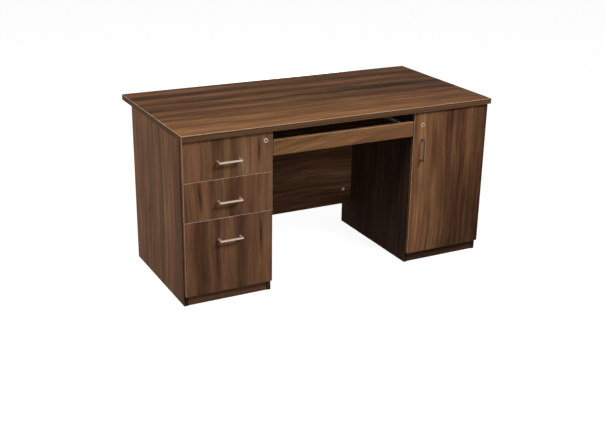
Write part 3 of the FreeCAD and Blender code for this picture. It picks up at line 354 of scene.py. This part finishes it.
# metals and beech dowels: one brushed or mottled recipe, each with its own colours
mottleLook = {"detail": 3.0, "fineShare": 0.6, "toneLimits": (0.3, 0.7), "roughnessLimits": (0.25, 0.75)}
fittingLooks = {
    "satinNickel": {
        "nodes": [f"{drawer}_handle" for drawer in drawerNames],
        "dark": (0.46, 0.36, 0.285), "light": (0.62, 0.50, 0.405), "perMetre": (60, 1400, 1400),
        "roughness": (0.48, 0.60), "metallic": 0.8, "bump": (0.05, 0.0002)},
    # painted shade: the door handle is a darker copy of the satin nickel, standing in for dark reflections
    "doorPaintedShadeNickel": {
        "nodes": ["door_handle"],
        "dark": (0.12, 0.080, 0.054), "light": (0.19, 0.137, 0.098), "perMetre": (1400, 1400, 60),
        "roughness": (0.48, 0.60), "metallic": 0.8, "bump": (0.05, 0.0002)},
    "brightNickel": {
        "nodes": ["drawer_lock_barrel", "door_lock_barrel"],
        "dark": (0.36, 0.290, 0.21), "light": (0.50, 0.410, 0.305), "perMetre": (300, 300, 300),
        "roughness": (0.14, 0.22), "metallic": 1.0, "bump": (0.05, 0.0002)},
    "plugNickel": {
        "nodes": ["drawer_lock_plug", "door_lock_plug"],
        "dark": (0.10, 0.085, 0.065), "light": (0.16, 0.14, 0.11), "perMetre": (300, 300, 300),
        "roughness": (0.18, 0.28), "metallic": 1.0, "bump": (0.05, 0.0002)},
    "zincSteel": {
        "nodes": [f"{owner}_slide_{part}" for owner in slideOwners for part in ("middle", "inner")]
        + [f"{drawer}_slide_outer" for drawer in drawerNames] + ["desktop_screws", "shelf_pins"],
        "dark": (0.47, 0.48, 0.49), "light": (0.64, 0.65, 0.66), "perMetre": (160, 40, 160),
        "roughness": (0.30, 0.44), "metallic": 0.8, "bump": (0.05, 0.0002)},
    # painted light: the tray's outer slide, which sits in shade, is a paler, less metallic copy of the zinc
    "paintedLightZinc": {
        "nodes": ["keyboard_tray_slide_outer"],
        "dark": (0.82, 0.82, 0.81), "light": (0.95, 0.95, 0.94), "perMetre": (160, 40, 160),
        "roughness": (0.36, 0.50), "metallic": 0.1, "bump": (0.05, 0.0002)},
    "fittingSteel": {
        "nodes": ["hinge_arms", "hinge_cups"],
        "dark": (0.54, 0.535, 0.52), "light": (0.66, 0.65, 0.63), "perMetre": (500, 500, 500),
        "roughness": (0.28, 0.38), "metallic": 0.85, "bump": (0.05, 0.0002)},
    "castZinc": {
        "nodes": ["cam_fittings"],
        "dark": (0.88, 0.76, 0.65), "light": (0.97, 0.87, 0.77), "perMetre": (400, 400, 400),
        "roughness": (0.30, 0.45), "metallic": 0.0, "bump": (0.05, 0.0002)},
    "beech": {
        "nodes": ["carcass_dowels"],
        "dark": (0.42, 0.27, 0.15), "light": (0.58, 0.40, 0.25), "perMetre": (20, 900, 900),
        "roughness": 0.6, "metallic": 0.0, "bump": (0.1, 0.0003)},
}


def makeFitting(name):
    look = fittingLooks[name]
    finish = Finish(name)
    mottle = finish.noise(finish.stretch(look["perMetre"]), detail=mottleLook["detail"],
                          fineShare=mottleLook["fineShare"])
    colour = finish.ramp(mottle, list(zip(mottleLook["toneLimits"], (look["dark"], look["light"]))))
    roughness = look["roughness"]
    if isinstance(roughness, tuple):  # a pair varies with the mottle, a single number is the same all over
        roughness = finish.spread(mottle, *mottleLook["roughnessLimits"], *roughness)
    finish.coat(colour, roughness, metallic=look["metallic"])
    finish.bump(mottle, *look["bump"])
    return finish.material


fittings = {name: makeFitting(name) for name in fittingLooks}
for name, look in fittingLooks.items():
    paint(fittings[name], look["nodes"])
print("fittings painted:", ", ".join(fittings))


# screw heads: a turned profile with a cross recess, set on the slides and the hinges
headTop = [(0.62, 1.0), (0.50, 1.0), (0.35, 1.0), (0.2, 1.0)]  # the rings that hold the recess
screwLook = {
    "sides": 32,
    "panProfile": [(1.0, 0.0), (1.0, 0.40), (0.94, 0.70), (0.82, 0.90)] + headTop,
    "flushProfile": [(0.6, -3.0), (1.0, -0.4), (1.0, 1.0), (0.8, 1.0)] + headTop,
    "slotHalfWidth": 0.15, "slotReach": 0.57,
    "slideEndInset": 0.035, "slideDepth": 0.013, "webThick": 0.0012,
    "slideFlush": {"radius": 0.0021, "height": 0.0002, "recess": 0.0006},
    "slidePan": {"radius": 0.0034, "height": 0.0016, "recess": 0.0011},
    "hingePan": {"radius": 0.0036, "height": 0.0016, "recess": 0.0011},
    "cupPan": {"radius": 0.0032, "height": 0.0012, "recess": 0.0008},
    "plateHalfHeight": 0.024, "wingScrewPitch": 0.016, "wingThick": 0.0025, "armRise": 0.0078,
    "armScrewsFromRear": (0.012, 0.034), "wingScrewFromRear": 0.026,
    "cupScrewPitch": 0.0225, "cupRadius": 0.0175,
}


def addHead(mesh, seat, outward, kind):
    look = screwLook
    size = look[kind]
    profile = look["flushProfile" if kind == "slideFlush" else "panProfile"]
    turn = Vector((0, 0, 1)).rotation_difference(Vector(outward)).to_matrix()
    rings = []
    for share, rise in profile:
        ring = []
        for i in range(look["sides"]):
            angle = 2 * math.pi * i / look["sides"]
            x, y = share * math.cos(angle), share * math.sin(angle)
            inSlot = min(abs(x), abs(y)) < look["slotHalfWidth"] and max(abs(x), abs(y)) < look["slotReach"]
            height = rise * size["height"] - (size["recess"] if inSlot and rise >= 1.0 else 0.0)
            spot = Vector((x * size["radius"], y * size["radius"], height))
            ring.append(mesh.verts.new(Vector(seat) + turn @ spot))
        rings.append(ring)
    for lower, upper in zip(rings, rings[1:]):
        for i in range(look["sides"]):
            j = (i + 1) % look["sides"]
            mesh.faces.new((lower[i], lower[j], upper[j], upper[i]))
    mesh.faces.new(rings[-1])
    mesh.faces.new(rings[0][::-1])


def addScrews(name, body, places):
    mesh = bmesh.new()
    for seat, outward, kind in places:
        addHead(mesh, seat, outward, kind)
    data = bpy.data.meshes.new(name)
    mesh.to_mesh(data)
    mesh.free()
    data.materials.append(fittings["zincSteel"])
    piece = bpy.data.objects.new(name, data)
    bpy.context.scene.collection.objects.link(piece)
    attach(piece, body)
    return len(places)


def slideScrews(owner, part, kind):
    wallLow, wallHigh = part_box(f"{owner}_slide_outer")
    low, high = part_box(f"{owner}_slide_{part}")
    inset, web = screwLook["slideEndInset"], screwLook["webThick"]
    middle = (low.z + high.z) / 2
    if part == "outer":  # on the cabinet member, looking away from the wall
        fromWall, outward = web, 1
    else:  # on the drawer member, looking at the wall
        fromWall, outward = screwLook["slideDepth"] - web, -1
    places = []
    for y in (low.y + inset, (low.y + high.y) / 2, high.y - inset):
        places.append(((wallLow.x + fromWall, y, middle), (outward, 0, 0), kind))
        places.append(((wallHigh.x - fromWall, y, middle), (-outward, 0, 0), kind))
    return places


def hingeHeights():
    low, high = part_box("hinge_arms")
    return low.z + screwLook["plateHalfHeight"], high.z - screwLook["plateHalfHeight"]


def hingeScrews():
    look = screwLook
    wall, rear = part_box("right_outer_side")[0].x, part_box("hinge_arms")[1].y
    places = []
    for z in hingeHeights():
        for rise in (-look["wingScrewPitch"], look["wingScrewPitch"]):
            seat = (wall - look["wingThick"], rear - look["wingScrewFromRear"], z + rise)
            places.append((seat, (-1, 0, 0), "hingePan"))
        for back in look["armScrewsFromRear"]:
            places.append(((wall - look["armRise"], rear - back, z), (-1, 0, 0), "hingePan"))
    return places


def cupScrews():
    look = screwLook
    low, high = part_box("hinge_cups")
    return [((low.x + look["cupRadius"], high.y, z + rise), (0, 1, 0), "cupPan")
            for z in hingeHeights() for rise in (-look["cupScrewPitch"], look["cupScrewPitch"])]


screwCount = addScrews("hingeScrewHeads", "desk", hingeScrews())
screwCount += addScrews("cupScrewHeads", "door", cupScrews())
for owner in slideOwners:
    screwCount += addScrews(owner + "OuterScrewHeads", "desk", slideScrews(owner, "outer", "slideFlush"))
    screwCount += addScrews(owner + "InnerScrewHeads", owner, slideScrews(owner, "inner", "slidePan"))
print("screw heads set:", screwCount)


# shows one shader to the camera, reflections and glass, and another to the light that bounces
def chooseByRay(tree, shown, bounced, output):
    path = tree.nodes.new("ShaderNodeLightPath")
    direct = path.outputs["Is Camera Ray"]
    for ray in ("Is Glossy Ray", "Is Transmission Ray"):
        either = tree.nodes.new("ShaderNodeMath")
        either.operation = "MAXIMUM"
        tree.links.new(direct, either.inputs[0])
        tree.links.new(path.outputs[ray], either.inputs[1])
        direct = either.outputs[0]
    choose = tree.nodes.new("ShaderNodeMixShader")
    for socket, source in zip(choose.inputs, (direct, bounced, shown)):
        tree.links.new(source, socket)
    tree.links.new(choose.outputs[0], output.inputs["Surface"])


# floor: white to the camera and to reflections, greyer to the light that bounces
floorLook = {"size": 60.0, "white": 0.20, "bounce": 0.12, "glow": 0.92}


def makeFloor():
    look = floorLook
    bpy.ops.mesh.primitive_plane_add(size=look["size"], location=(0, 0, 0))
    floor = bpy.context.object
    floor.name = "floor"
    material = bpy.data.materials.new("studioFloor")
    material.use_nodes = True
    tree = material.node_tree
    tree.nodes.clear()
    output = tree.nodes.new("ShaderNodeOutputMaterial")
    matte, dull = (tree.nodes.new("ShaderNodeBsdfDiffuse") for i in range(2))
    for shader, grey in ((matte, look["white"]), (dull, look["bounce"])):
        shader.inputs["Color"].default_value = (grey, grey, grey, 1.0)
    glow = tree.nodes.new("ShaderNodeEmission")
    glow.inputs["Strength"].default_value = look["glow"]
    lit = tree.nodes.new("ShaderNodeAddShader")
    tree.links.new(matte.outputs[0], lit.inputs[0])
    tree.links.new(glow.outputs[0], lit.inputs[1])
    chooseByRay(tree, lit.outputs[0], dull.outputs[0], output)
    floor.data.materials.append(material)


# backdrop: white where it is seen, dimmer as light on the desk
worldLook = {"backdrop": 1.0, "ambient": 0.22, "colour": (1.0, 1.0, 1.0, 1.0)}


def makeWorld():
    look = worldLook
    world = bpy.data.worlds.new("studio")
    bpy.context.scene.world = world
    world.use_nodes = True
    tree = world.node_tree
    tree.nodes.clear()
    output = tree.nodes.new("ShaderNodeOutputWorld")
    backdrop, ambient = (tree.nodes.new("ShaderNodeBackground") for i in range(2))
    for background, strength in ((backdrop, look["backdrop"]), (ambient, look["ambient"])):
        background.inputs["Color"].default_value = look["colour"]
        background.inputs["Strength"].default_value = strength
    chooseByRay(tree, backdrop.outputs[0], ambient.outputs[0], output)


lampLooks = [
    {"name": "leftLamp", "at": (-3.6, -0.6, 3.0), "aim": (0.0, 0.0, 0.5), "size": 2.0, "watts": 140.0},
    {"name": "frontLamp", "at": (1.1, -2.8, 3.2), "aim": (-0.3, 0.0, 0.5), "size": 1.0, "watts": 134.0},
    {"name": "backLamp", "at": (1.7, 3.6, 0.35), "aim": (0.1, 0.0, 0.4), "size": 0.7, "watts": 55.0},
    {"name": "fillLamp", "at": (-1.3, -4.4, 1.9), "aim": (0.0, 0.0, 0.4), "size": 0.8, "watts": 30.0},
]


def addLamp(look):
    lamp = bpy.data.lights.new(look["name"], "AREA")
    lamp.shape = "DISK"
    lamp.size = look["size"]
    lamp.energy = look["watts"]
    holder = bpy.data.objects.new(look["name"], lamp)
    bpy.context.scene.collection.objects.link(holder)
    holder.location = look["at"]
    view = Vector(look["aim"]) - Vector(look["at"])
    holder.rotation_euler = view.to_track_quat("-Z", "Y").to_euler()


makeFloor()
makeWorld()
for look in lampLooks:
    addLamp(look)
bpy.context.scene.view_settings.view_transform = "Standard"
print("stage lit by", len(lampLooks), "lamps")


# camera at the photograph's place, in degrees, metres and pixels of its frame
cameraLook = {"at": (-2.041, -3.871, 1.843), "azimuth": -27.63, "elevation": 21.17, "roll": 0.89,
              "focalPixels": 987.4, "framePixels": 605, "sensor": 36.0}


def addCamera():
    look = cameraLook
    camera = bpy.data.cameras.new("camera")
    camera.sensor_width = look["sensor"]
    camera.lens = look["focalPixels"] / look["framePixels"] * look["sensor"]
    holder = bpy.data.objects.new("camera", camera)
    bpy.context.scene.collection.objects.link(holder)
    holder.matrix_world = (
        Matrix.Translation(look["at"])
        @ Matrix.Rotation(math.radians(look["azimuth"]), 4, "Z")
        @ Matrix.Rotation(math.radians(90.0 - look["elevation"]), 4, "X")
        @ Matrix.Rotation(math.radians(look["roll"]), 4, "Z"))
    bpy.context.scene.camera = holder


addCamera()
print("camera set")
